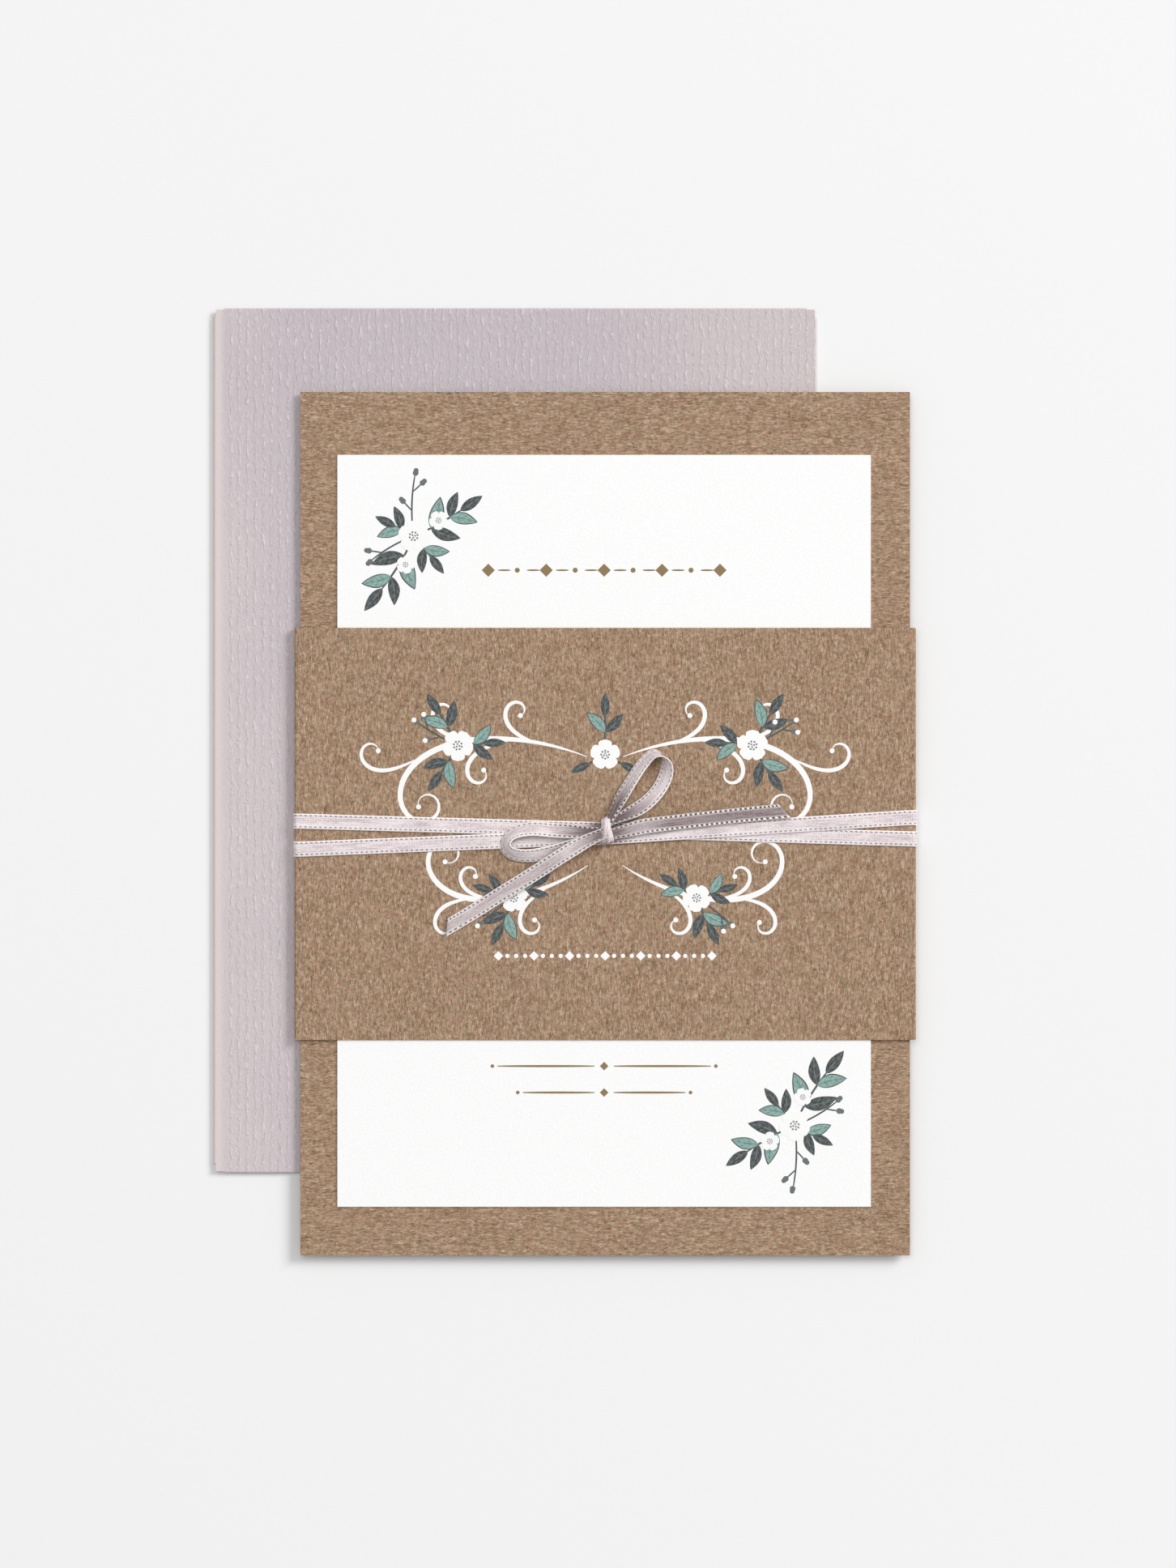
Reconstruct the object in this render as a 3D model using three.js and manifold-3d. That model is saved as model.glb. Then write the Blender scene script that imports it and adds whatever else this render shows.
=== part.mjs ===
// A wedding invitation set, lying flat with its printed side up: a paper envelope, and on it a white
// card glued to a kraft backing card, held in a folded belly band that a narrow ribbon ties shut.
// Millimetres, +Z up, +Y towards the top of the card. The origin is under the middle of the set.
import * as THREE from "three";
import { mergeVertices } from "three/addons/utils/BufferGeometryUtils.js";
import Module from "manifold-3d";

const wasm = await Module();
wasm.setup();

// Cards
const cardWidth = 120;
const cardHeight = 170;
const cardThickness = 0.4;
const insertWidth = 105;
const insertHeight = 148;
const insertThickness = 0.3;
const insertShiftX = -0.2;
const insertShiftY = -1.4;
const glueLine = 0.02;

// Envelope: one sheet, folded on all four sides
const envelopeWidth = 118.9;
const envelopeLength = 170.4;
const envelopeShiftX = -17.8;
const envelopeShiftY = 16.4;
const sheetThickness = 0.18;
const pocketDepth = 0.25;
const flapGap = 0.06;
const sealFlapDepth = 74;
const sealFlapNickX = 3.15;
const sealFlapNickY = 1.8;
const sealFlapBendX = 9;
const sealFlapBendY = 5.4;
const sealFlapEdgeX = 12.6;
const sealFlapEdgeY = 14.4;
const sealFlapTipRadius = 7;
const sealFlapTipHalf = 6.3;
const throatDepth = 17;
const throatShoulder = 12;
const sideTabDepth = 14;
const sideTabTaper = 7;
const foldRelief = 0.8;

// Belly band: one strip folded round the card, its ends lapped at the back
const bandHeight = 81.1;
const bandThickness = 0.25;
const bandSideClearance = 0.9;
const bandFaceClearance = 0.05;
const bandShiftY = -2;
const bandFold = 0.45;
const lapWidth = 16;

// Ribbon
const ribbonWidth = 3;
const ribbonThickness = 0.2;
const ribbonGap = 0.06;
const stackGap = 0.05;
const knotX = 0.25;
const knotY = 0.9;
const knotWidth = 1.9;
const knotLength = 5;
const knotHeight = 2.4;
const knotRounding = 0.4;
const knotDrop = 0.2;
const tailSlant = 2.3;

// How far each end of the four front strands lies above the knot's middle, at the band's edges
const edgeUpperRight = 2.3;
const edgeLowerRight = -1.9;
const edgeUpperLeft = 1.6;
const edgeLowerLeft = -3.9;
const throughStrandAtKnot = -0.1;
const tiedStrandsAtKnot = -1.5;

// Where a front strand climbs on or off another one, as a part of its way across
const offKnot = 0.12;
const dropStart = 0.76;
const dropEnd = 0.92;
const climbStart = 0.5;
const climbEnd = 0.66;
const ontoKnot = 0.88;

// Stations in each length of the ribbon
const slopingSteps = 26;
const flatSteps = 8;
const backSteps = 10;
const arcSteps = 5;
const loopSteps = 40;
const tailSteps = 24;

// Levels of the stack, from the ground up
const sealFlapTop = sheetThickness;
const backPanelBottom = sealFlapTop + flapGap;
const backPanelTop = backPanelBottom + sheetThickness;
const sideTabTop = backPanelTop + sheetThickness;
const frontPanelBottom = sideTabTop + pocketDepth;
const envelopeTop = frontPanelBottom + sheetThickness;
const backRibbonMiddle = envelopeTop + stackGap + ribbonThickness / 2;
const lapBottom = backRibbonMiddle + ribbonThickness / 2 + ribbonGap;
const bandBackOutside = lapBottom + bandThickness;
const bandBackInside = bandBackOutside + bandThickness;
const cardBottom = bandBackInside + bandFaceClearance;
const insertBottom = cardBottom + cardThickness + glueLine;
const bandFrontInside = insertBottom + insertThickness + bandFaceClearance;
const bandFrontOutside = bandFrontInside + bandThickness;
const bandHalfWidth = cardWidth / 2 + bandSideClearance + bandThickness;

const kraft = new THREE.MeshStandardMaterial({ color: 0xa2866f, roughness: 0.9, metalness: 0 });
const whiteCard = new THREE.MeshStandardMaterial({ color: 0xf6f6f5, roughness: 0.85, metalness: 0 });
const pearlPaper = new THREE.MeshStandardMaterial({ color: 0xcbbfc2, roughness: 0.55, metalness: 0 });
const satin = new THREE.MeshStandardMaterial({ color: 0xd9cccd, roughness: 0.4, metalness: 0 });

// A closed geometry as a solid that can be joined or cut. Its corners are moved to a grid much finer
// than paper, so that faces drawn at one level share that level exactly.
const gridPerMillimetre = 2048;

function solidFrom(geometry) {
  const onGrid = geometry.getAttribute("position").clone();
  onGrid.array.forEach((value, i, all) => {
    all[i] = Math.round(value * gridPerMillimetre) / gridPerMillimetre;
  });
  const bare = new THREE.BufferGeometry();
  bare.setAttribute("position", onGrid);
  bare.setIndex(geometry.getIndex());
  const merged = mergeVertices(bare, 1e-4);
  const vertProperties = merged.getAttribute("position").array;
  const triVerts = new Uint32Array(merged.getIndex().array);
  return new wasm.Manifold(new wasm.Mesh({ numProp: 3, vertProperties, triVerts }));
}

function geometryFrom(solid) {
  const made = solid.getMesh();
  const geometry = new THREE.BufferGeometry();
  geometry.setAttribute("position", new THREE.BufferAttribute(made.vertProperties, 3));
  geometry.setIndex(new THREE.BufferAttribute(made.triVerts, 1));
  geometry.computeVertexNormals();
  return geometry;
}

// Pieces joined into one solid. Air that they shut in between them is filled.
function joined(geometries) {
  const whole = geometries.map(solidFrom).reduce((made, added) => made.add(added));
  const shells = whole.decompose().filter((shell) => shell.volume() > 0);
  return geometryFrom(shells.reduce((made, added) => made.add(added)));
}

function extruded(outline, depth, curveSegments) {
  return new THREE.ExtrudeGeometry(outline, { depth, curveSegments, bevelEnabled: false });
}

// A flat sheet of any outline, from one level up to another.
function sheet(outline, bottom, top) {
  return extruded(outline, top - bottom, 6).translate(0, 0, bottom);
}

function rectangle(left, right, low, high) {
  const outline = new THREE.Shape();
  outline.moveTo(left, low);
  outline.lineTo(right, low);
  outline.lineTo(right, high);
  outline.lineTo(left, high);
  outline.closePath();
  return outline;
}

function card(width, height, bottom, thickness) {
  return sheet(rectangle(-width / 2, width / 2, -height / 2, height / 2), bottom, bottom + thickness);
}

// Envelope. Each flap is the front panel's sheet, turned under in a round fold. The fold's radius
// follows from the level at which the flap lies: side tabs inside, then the back panel, and the
// pointed seal flap outside of all, closed over the throat but not stuck down. A fold is a hair
// thinner than the sheet, and its two arms end inside the sheets that it joins.
const foldInset = 0.01;
const foldArm = 0.4;
const sealFoldRadius = envelopeTop / 2;
const backFoldRadius = (envelopeTop - backPanelBottom) / 2;
const tabFoldRadius = (envelopeTop - backPanelTop) / 2;
const panelLeft = -envelopeWidth / 2 + sealFoldRadius - foldInset;
const panelRight = envelopeWidth / 2 - backFoldRadius + foldInset;
const panelTop = envelopeLength / 2 - tabFoldRadius + foldInset;

// The half-round fold along one side, drawn as its section at the left and turned to that side.
function fold(radius, length, side) {
  const outside = radius - foldInset;
  const inside = radius - sheetThickness + foldInset;
  const section = new THREE.Shape();
  section.moveTo(foldArm, outside);
  section.absarc(0, 0, outside, Math.PI / 2, Math.PI * 1.5, false);
  section.lineTo(foldArm, -outside);
  section.lineTo(foldArm, -inside);
  section.absarc(0, 0, inside, Math.PI * 1.5, Math.PI / 2, true);
  section.lineTo(foldArm, inside);
  section.closePath();
  const bar = extruded(section, length, 8);
  bar.rotateX(Math.PI / 2);
  bar.translate(0, length / 2, envelopeTop - radius);
  return bar.rotateZ(side);
}

function sealFlapOutline() {
  const foldLine = panelLeft;
  const shoulder = envelopeLength / 2 - foldRelief;
  const tip = -envelopeWidth / 2 + sealFlapDepth;
  const bend = foldLine + sealFlapBendX;
  const edge = foldLine + sealFlapEdgeX;
  const outline = new THREE.Shape();
  outline.moveTo(foldLine, -shoulder);
  outline.lineTo(foldLine + sealFlapNickX, sealFlapNickY - shoulder);
  outline.quadraticCurveTo(bend, sealFlapBendY - shoulder, edge, sealFlapEdgeY - shoulder);
  outline.lineTo(tip - sealFlapTipRadius, -sealFlapTipHalf);
  outline.quadraticCurveTo(tip, 0, tip - sealFlapTipRadius, sealFlapTipHalf);
  outline.lineTo(edge, shoulder - sealFlapEdgeY);
  outline.quadraticCurveTo(bend, shoulder - sealFlapBendY, foldLine + sealFlapNickX, shoulder - sealFlapNickY);
  outline.lineTo(foldLine, shoulder);
  outline.closePath();
  return outline;
}

function backPanelOutline() {
  const throat = -envelopeWidth / 2 + throatDepth;
  const edge = envelopeLength / 2 - foldRelief;
  const outline = new THREE.Shape();
  outline.moveTo(panelRight, -edge);
  outline.lineTo(panelRight, edge);
  outline.lineTo(throat - throatShoulder / 2, edge);
  outline.quadraticCurveTo(throat, edge - throatShoulder / 4, throat, edge - throatShoulder);
  outline.lineTo(throat, throatShoulder - edge);
  outline.quadraticCurveTo(throat, throatShoulder / 4 - edge, throat - throatShoulder / 2, -edge);
  outline.closePath();
  return outline;
}

function sideTabOutline(sign) {
  const inner = envelopeLength / 2 - sideTabDepth;
  const left = panelLeft + foldRelief;
  const right = panelRight - foldRelief;
  const corners = [
    [left, panelTop],
    [left + sideTabTaper, inner],
    [right - sideTabTaper, inner],
    [right, panelTop],
  ];
  const ordered = sign > 0 ? corners : corners.reverse();
  const outline = new THREE.Shape();
  ordered.forEach(([x, y], i) => (i ? outline.lineTo(x, sign * y) : outline.moveTo(x, sign * y)));
  outline.closePath();
  return outline;
}

function envelopeGeometry() {
  const panel = rectangle(panelLeft, panelRight, -panelTop, panelTop);
  const acrossFold = panelRight - panelLeft - 4 * foldRelief;
  const alongFold = 2 * (panelTop - 2 * foldRelief);
  const foldMiddle = (panelLeft + panelRight) / 2;
  return joined([
    sheet(panel, frontPanelBottom, envelopeTop),
    fold(sealFoldRadius, alongFold, 0).translate(panelLeft, 0, 0),
    fold(backFoldRadius, alongFold, Math.PI).translate(panelRight, 0, 0),
    fold(tabFoldRadius, acrossFold, -Math.PI / 2).translate(foldMiddle, panelTop, 0),
    fold(tabFoldRadius, acrossFold, Math.PI / 2).translate(foldMiddle, -panelTop, 0),
    sheet(sideTabOutline(1), backPanelTop, sideTabTop),
    sheet(sideTabOutline(-1), backPanelTop, sideTabTop),
    sheet(backPanelOutline(), backPanelBottom, backPanelTop + foldInset),
    sheet(sealFlapOutline(), 0, sealFlapTop),
  ]);
}

// Belly band: its section is a flat ring with folded corners, thicker where its two ends are lapped
// and glued at the back, and it is as long as the band is high.
function roundedLoop(halfWidth, bottom, top, radius, path) {
  path.moveTo(halfWidth - radius, bottom);
  path.absarc(halfWidth - radius, bottom + radius, radius, -Math.PI / 2, 0, false);
  path.absarc(halfWidth - radius, top - radius, radius, 0, Math.PI / 2, false);
  path.absarc(radius - halfWidth, top - radius, radius, Math.PI / 2, Math.PI, false);
  path.absarc(radius - halfWidth, bottom + radius, radius, Math.PI, Math.PI * 1.5, false);
  return path;
}

function bandGeometry() {
  const section = roundedLoop(bandHalfWidth, bandBackOutside, bandFrontOutside, bandFold, new THREE.Shape());
  section.lineTo(-lapWidth / 2, bandBackOutside);
  section.lineTo(-lapWidth / 2, lapBottom);
  section.lineTo(lapWidth / 2, lapBottom);
  section.lineTo(lapWidth / 2, bandBackOutside);
  section.closePath();
  const insideHalf = bandHalfWidth - bandThickness;
  const insideFold = bandFold - bandThickness;
  const hollow = roundedLoop(insideHalf, bandBackInside, bandFrontInside, insideFold, new THREE.Path());
  hollow.closePath();
  section.holes.push(hollow);
  return extruded(section, bandHeight, 5).rotateX(Math.PI / 2).translate(0, bandHeight / 2, 0);
}

// Ribbon. A length of it is a flat section swept through a row of stations. Each station has a
// middle point and a direction across the ribbon. A slant shears its last stretch for a cut end.
function ribbonLength(middles, acrosses, slants = []) {
  const corners = [[-1, -1], [1, -1], [1, 1], [-1, 1]];
  const positions = [];
  const index = [];
  const last = middles.length - 1;
  middles.forEach((middle, i) => {
    const before = middles[Math.max(i - 1, 0)];
    const after = middles[Math.min(i + 1, last)];
    const along = after.clone().sub(before).normalize();
    const across = acrosses[i].clone().addScaledVector(along, -acrosses[i].dot(along)).normalize();
    const face = along.clone().cross(across);
    corners.forEach(([u, v]) => {
      const corner = middle.clone();
      corner.addScaledVector(across, (u * ribbonWidth) / 2);
      corner.addScaledVector(face, (v * ribbonThickness) / 2);
      corner.addScaledVector(along, u * (slants[i] ?? 0));
      positions.push(corner.x, corner.y, corner.z);
    });
    if (i < last) {
      for (let k = 0; k < 4; k += 1) {
        const a = i * 4 + k;
        const b = i * 4 + ((k + 1) % 4);
        index.push(a, b, b + 4, a, b + 4, a + 4);
      }
    }
  });
  const end = last * 4;
  index.push(0, 2, 1, 0, 3, 2, end, end + 1, end + 2, end, end + 2, end + 3);
  const geometry = new THREE.BufferGeometry();
  geometry.setAttribute("position", new THREE.Float32BufferAttribute(positions, 3));
  geometry.setIndex(index);
  return geometry;
}

// The two turns round the band, as one run: from the knot to the right, round the back, straight
// through under the knot, round the back once more and home to the knot from the left. The strands
// that cross on the front lie on each other, so each has a layer: 0 on the band, 1 on a strand.
const frontRibbonMiddle = bandFrontOutside + ribbonGap + ribbonThickness / 2;
const layerStep = ribbonThickness + ribbonGap;
const turnHalfWidth = bandHalfWidth + ribbonGap + ribbonThickness / 2;
const turnRadius = bandFold + ribbonGap + ribbonThickness / 2;
const strandEnd = turnHalfWidth - 2.5 * turnRadius;

function turnsGeometry() {
  const { smoothstep, lerp } = THREE.MathUtils;
  const middles = [];
  const reach = turnHalfWidth - turnRadius;
  const strand = (from, to, level, steps) => {
    for (let i = 0; i < steps; i += 1) {
      const part = i / steps;
      const x = lerp(from[0], to[0], part);
      const y = lerp(from[1], to[1], part);
      middles.push(new THREE.Vector3(x, y, level(part)));
    }
  };
  const front = (layer) => (part) => frontRibbonMiddle + layerStep * layer(part);
  const roundEdge = (side, y, downwards) => {
    const bends = [
      [frontRibbonMiddle - turnRadius, Math.PI / 2, 0],
      [backRibbonMiddle + turnRadius, 0, -Math.PI / 2],
    ];
    const points = bends.flatMap(([level, from, to]) =>
      Array.from({ length: arcSteps + 1 }, (_, i) => {
        const angle = lerp(from, to, i / arcSteps);
        const x = side * (reach + turnRadius * Math.cos(angle));
        return new THREE.Vector3(x, y, level + turnRadius * Math.sin(angle));
      }),
    );
    middles.push(...(downwards ? points : points.reverse()));
  };
  const back = () => backRibbonMiddle;
  const knotAt = (y) => [knotX, knotY + y];
  const edgeAt = (side, y) => [side * strandEnd, knotY + y];
  const ontoRight = (part) =>
    2 - smoothstep(part, 0, offKnot) - smoothstep(part, dropStart, dropEnd);
  const ontoLeft = (part) =>
    smoothstep(part, climbStart, climbEnd) + smoothstep(part, ontoKnot, 1);
  const flat = () => 0;
  strand(knotAt(tiedStrandsAtKnot), edgeAt(1, edgeUpperRight), front(ontoRight), slopingSteps);
  roundEdge(1, knotY + edgeUpperRight, true);
  strand(edgeAt(1, edgeUpperRight), edgeAt(-1, edgeUpperLeft), back, backSteps);
  roundEdge(-1, knotY + edgeUpperLeft, false);
  strand(edgeAt(-1, edgeUpperLeft), knotAt(throughStrandAtKnot), front(flat), flatSteps);
  strand(knotAt(throughStrandAtKnot), edgeAt(1, edgeLowerRight), front(flat), flatSteps);
  roundEdge(1, knotY + edgeLowerRight, true);
  strand(edgeAt(1, edgeLowerRight), edgeAt(-1, edgeLowerLeft), back, backSteps);
  roundEdge(-1, knotY + edgeLowerLeft, false);
  strand(edgeAt(-1, edgeLowerLeft), knotAt(tiedStrandsAtKnot), front(ontoLeft), slopingSteps);
  middles.push(new THREE.Vector3(knotX, knotY + tiedStrandsAtKnot, frontRibbonMiddle + 2 * layerStep));
  return ribbonLength(middles, middles.map(() => new THREE.Vector3(0, 1, 0)));
}

// A free length of the bow: x and y from the knot's middle, the lean in plan of the ribbon's width
// from its low edge to its high edge, and how far the low edge stands over the band.
function bowLength(stations, steps, slant = 0) {
  const points = [];
  const leans = [];
  stations.forEach(([x, y, leanX, leanY, low]) => {
    const rise = Math.sqrt(Math.max(0, 1 - leanX * leanX - leanY * leanY));
    const level = frontRibbonMiddle + low + (rise * ribbonWidth) / 2;
    points.push(new THREE.Vector3(knotX + x, knotY + y, level));
    leans.push(new THREE.Vector3(leanX, leanY, rise));
  });
  const middleLine = new THREE.CatmullRomCurve3(points);
  const leanLine = new THREE.CatmullRomCurve3(leans);
  const parts = Array.from({ length: steps + 1 }, (_, i) => i / steps);
  const middles = parts.map((part) => middleLine.getPoint(part));
  const acrosses = parts.map((part) => leanLine.getPoint(part).normalize());
  const zone = 2 * Math.abs(slant);
  const slants = middles.map((middle) => {
    const fromEnd = middle.distanceTo(middles[steps]);
    return (slant / 2) * Math.max(0, 1 - fromEnd / Math.max(zone, ribbonThickness));
  });
  return ribbonLength(middles, acrosses, slants);
}

const leftLoop = [
  [-0.3, -0.3, 0.1, -0.92, 0.9],
  [-4.5, -0.5, 0.05, -0.95, 0.7],
  [-10, -0.2, 0, -0.95, 0.5],
  [-15, 0.1, 0.12, -0.9, 0.4],
  [-18.6, -0.9, 0.55, -0.55, 0.15],
  [-20, -2.9, 0.75, -0.05, 0.1],
  [-18.6, -4.7, 0.5, 0.6, 0.1],
  [-15, -5.2, 0.05, 0.85, 0.12],
  [-10, -4.3, -0.15, 0.9, 0.3],
  [-5, -2.7, -0.3, 0.88, 0.7],
  [-0.3, -1.1, -0.3, 0.88, 0.9],
];

const rightLoop = [
  [0.1, 0.9, 0.72, -0.58, 0.9],
  [2.3, 5.2, 0.66, -0.5, 0.5],
  [4.8, 9.4, 0.6, -0.47, 0.2],
  [7.2, 13, 0.55, -0.5, 0.1],
  [9.2, 14.8, 0.35, -0.5, 0.1],
  [11, 14.4, 0.45, -0.4, 0.1],
  [11.9, 12.4, 0.75, -0.3, 0.1],
  [11.4, 9.9, 0.86, -0.35, 0.15],
  [9.8, 7.2, 0.78, -0.52, 0.2],
  [7.2, 4.7, 0.6, -0.74, 0.4],
  [3.6, 2.7, 0.42, -0.86, 0.8],
  [0.3, 1.2, 0.4, -0.86, 1],
];

const leftTail = [
  [-0.2, -0.6, 0.5, -0.86, 2],
  [-4.5, -2.6, 0.5, -0.86, 2.2],
  [-9, -5.3, 0.52, -0.85, 2],
  [-14.2, -8.7, 0.54, -0.84, 1.2],
  [-20, -12.3, 0.54, -0.84, 0.5],
  [-26, -16.1, 0.54, -0.84, 0.15],
  [-31.5, -19.4, 0.52, -0.85, 0.1],
];

const rightTail = [
  [0.2, -1.1, 0.15, -0.98, 1.2],
  [3.4, -0.4, 0.18, -0.98, 1],
  [7.5, 0.6, 0.15, -0.98, 0.9],
  [13, 1.3, 0.1, -0.99, 0.75],
  [20, 2.1, 0.1, -0.99, 0.6],
  [28, 2.95, 0.1, -0.99, 0.55],
  [35.1, 3.6, 0.1, -0.99, 0.5],
];

// The knot: the ribbon's own last turn, drawn tight over the strands into a narrow rounded pad.
function knotGeometry() {
  const pad = new THREE.Shape();
  const halfLength = knotLength / 2 - knotRounding;
  const halfHeight = knotHeight / 2 - knotRounding;
  pad.absellipse(0, 0, halfLength, halfHeight, 0, Math.PI * 2, false);
  const geometry = new THREE.ExtrudeGeometry(pad, {
    depth: knotWidth - 2 * knotRounding,
    bevelThickness: knotRounding,
    bevelSize: knotRounding,
    bevelSegments: 3,
    curveSegments: 10,
  });
  geometry.translate(0, 0, knotRounding - knotWidth / 2);
  geometry.rotateX(Math.PI / 2).rotateZ(Math.PI / 2);
  return geometry.translate(knotX, knotY - knotDrop, bandFrontOutside + ribbonGap + knotHeight / 2);
}

function ribbonGeometry() {
  return joined([
    turnsGeometry(),
    knotGeometry(),
    bowLength(leftLoop, loopSteps),
    bowLength(rightLoop, loopSteps),
    bowLength(leftTail, tailSteps, tailSlant),
    bowLength(rightTail, tailSteps, tailSlant),
  ]);
}

// The set, put together
function piece(name, geometry, material, x = 0, y = 0) {
  const mesh = new THREE.Mesh(geometry, material);
  mesh.name = name;
  mesh.position.set(x, y, 0);
  return mesh;
}

const insertCard = card(insertWidth, insertHeight, insertBottom, insertThickness);
const invitation = new THREE.Group();
invitation.add(
  piece("kraft_card", card(cardWidth, cardHeight, cardBottom, cardThickness), kraft),
  piece("white_insert_card", insertCard, whiteCard, insertShiftX, insertShiftY),
);

const wrapping = new THREE.Group();
wrapping.position.y = bandShiftY;
wrapping.add(
  piece("belly_band", bandGeometry(), kraft),
  piece("satin_ribbon", ribbonGeometry(), satin),
);

const stack = new THREE.Group();
stack.add(
  piece("envelope", envelopeGeometry(), pearlPaper, envelopeShiftX, envelopeShiftY),
  invitation,
  wrapping,
);

const extent = new THREE.Box3().setFromObject(stack, true);
const middle = extent.getCenter(new THREE.Vector3());
stack.position.set(-middle.x, -middle.y, -extent.min.z);

const weddingInvitation = new THREE.Group();
weddingInvitation.add(stack);
export default weddingInvitation;
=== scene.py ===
"""A wedding invitation set for Blender 4.5, seen from straight above.

The set lies on a pale floor: a pearl paper envelope, a white card on a kraft backing card, a kraft
belly band and a narrow satin ribbon tied in a bow. The set's lengths are written in millimetres
and turned into metres when a piece is finished. Those of the lamps and the floor are in metres.
"""
import math

import bmesh
import bpy
from mathutils import Matrix, Vector


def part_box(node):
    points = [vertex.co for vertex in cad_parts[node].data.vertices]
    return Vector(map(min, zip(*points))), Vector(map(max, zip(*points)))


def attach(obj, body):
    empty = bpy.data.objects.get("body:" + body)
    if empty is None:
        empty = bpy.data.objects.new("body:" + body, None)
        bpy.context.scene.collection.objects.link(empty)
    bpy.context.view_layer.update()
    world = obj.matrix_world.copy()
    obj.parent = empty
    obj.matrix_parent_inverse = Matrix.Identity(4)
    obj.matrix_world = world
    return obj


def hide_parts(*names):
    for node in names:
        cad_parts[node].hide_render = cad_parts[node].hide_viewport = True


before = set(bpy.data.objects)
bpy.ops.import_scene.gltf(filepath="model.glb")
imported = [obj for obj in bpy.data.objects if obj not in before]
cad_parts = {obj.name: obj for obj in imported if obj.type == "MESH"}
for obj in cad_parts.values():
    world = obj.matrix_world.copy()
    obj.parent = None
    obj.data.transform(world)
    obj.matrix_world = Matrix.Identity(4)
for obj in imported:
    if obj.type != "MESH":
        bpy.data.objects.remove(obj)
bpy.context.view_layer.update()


# Camera. It hangs over the set and looks straight down, as in the photograph, with a long lens, so
# that the thin stack shows no perspective. The frame is the photograph's own.
photo_size = (1452, 1936)
photo_scale = 6.273
photo_over_origin = (697.5, 965)
lens = 150
sensor = 36
near_clip = 0.01
MM = 0.001


def box_mm(node):
    """A node's lowest and highest corners, in millimetres."""
    low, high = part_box(node)
    return Vector(low) / MM, Vector(high) / MM


frame_height = photo_size[1] / photo_scale
look_at = ((photo_size[0] / 2 - photo_over_origin[0]) / photo_scale,
           (photo_over_origin[1] - photo_size[1] / 2) / photo_scale)
camera_data = bpy.data.cameras.new("camera")
camera_data.lens = lens
camera_data.sensor_fit = "VERTICAL"
camera_data.sensor_height = sensor
camera_data.clip_start = near_clip
camera = bpy.data.objects.new("camera", camera_data)
card_face = box_mm("white_insert_card")[1].z
camera.location = Vector((look_at[0], look_at[1], card_face + frame_height * lens / sensor)) * MM
bpy.context.collection.objects.link(camera)
bpy.context.scene.camera = camera


# Light. Broad soft daylight comes from the upper right and lays faint shadows to the left of each
# sheet, and an even white surround fills them. Its shader maths is used by every finish after it: a
# Value is one socket, and + - * / on Values add Math nodes. A Finish holds one node tree, and its
# node method makes any other node.
class Value:
    def __init__(self, finish, socket):
        self.finish = finish
        self.socket = socket

    def math(self, operation, *others):
        settings = {"operation": operation}
        return self.finish.node("ShaderNodeMath", settings, {i: v for i, v in enumerate(others)})

    def __add__(self, other):
        return self.math("ADD", self, other)

    def __sub__(self, other):
        return self.math("SUBTRACT", self, other)

    def __rsub__(self, other):
        return self.math("SUBTRACT", other, self)

    def __mul__(self, other):
        return self.math("MULTIPLY", self, other)

    def __truediv__(self, other):
        return self.math("DIVIDE", self, other)

    __radd__ = __add__
    __rmul__ = __mul__

    def absolute(self):
        return self.math("ABSOLUTE", self)

    def sine(self):
        return self.math("SINE", self)

    def larger(self, other):
        return self.math("MAXIMUM", self, other)

    def step(self, low, high):
        """0 under low and 1 over high, with a smooth rise between them."""
        settings = {"interpolation_type": "SMOOTHSTEP"}
        inputs = {"Value": self, "From Min": low, "From Max": high}
        return self.finish.node("ShaderNodeMapRange", settings, inputs)


class Finish:
    def __init__(self, tree):
        self.tree = tree

    def feed(self, socket, value):
        if isinstance(value, Value):
            self.tree.links.new(value.socket, socket)
        else:
            socket.default_value = value

    def node(self, kind, settings=None, inputs=None, output=0):
        made = self.tree.nodes.new(kind)
        for name, value in (settings or {}).items():
            if name == "stops":
                while len(made.color_ramp.elements) < len(value):
                    made.color_ramp.elements.new(1)
                for element, (place, colour) in zip(made.color_ramp.elements, value):
                    element.position = place
                    element.color = colour
            else:
                setattr(made, name, value)
        for name, value in (inputs or {}).items():
            self.feed(made.inputs[name], value)
        return Value(self, made.outputs[output])


def soft_box(name, place, size, power):
    """A square lamp that faces the middle of the set."""
    lamp = bpy.data.lights.new(name, "AREA")
    lamp.shape = "SQUARE"
    lamp.size = size
    lamp.energy = power
    holder = bpy.data.objects.new(name, lamp)
    holder.location = place
    holder.rotation_euler = (-Vector(place)).to_track_quat("-Z", "Y").to_euler()
    bpy.context.collection.objects.link(holder)


soft_box("window", place=(3.45, 2.25, 2.85), size=2.0, power=168)
soft_box("overhead", place=(-0.75, 1.5, 5.7), size=3.6, power=98)

surround_strength = 0.42
surround_seen = 0.93
surround = bpy.data.worlds.new("surround")
surround.use_nodes = True
bpy.context.scene.world = surround
sky = Finish(surround.node_tree)
backdrop = surround.node_tree.nodes["Background"]
backdrop.inputs["Color"].default_value = (1, 1, 1, 1)
seen = sky.node("ShaderNodeLightPath", output="Is Camera Ray")
mirrored = sky.node("ShaderNodeLightPath", output="Is Glossy Ray")
extra = seen.larger(mirrored) * (surround_seen - surround_strength)
sky.feed(backdrop.inputs["Strength"], surround_strength + extra)
bpy.context.scene.view_settings.view_transform = "Standard"


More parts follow.
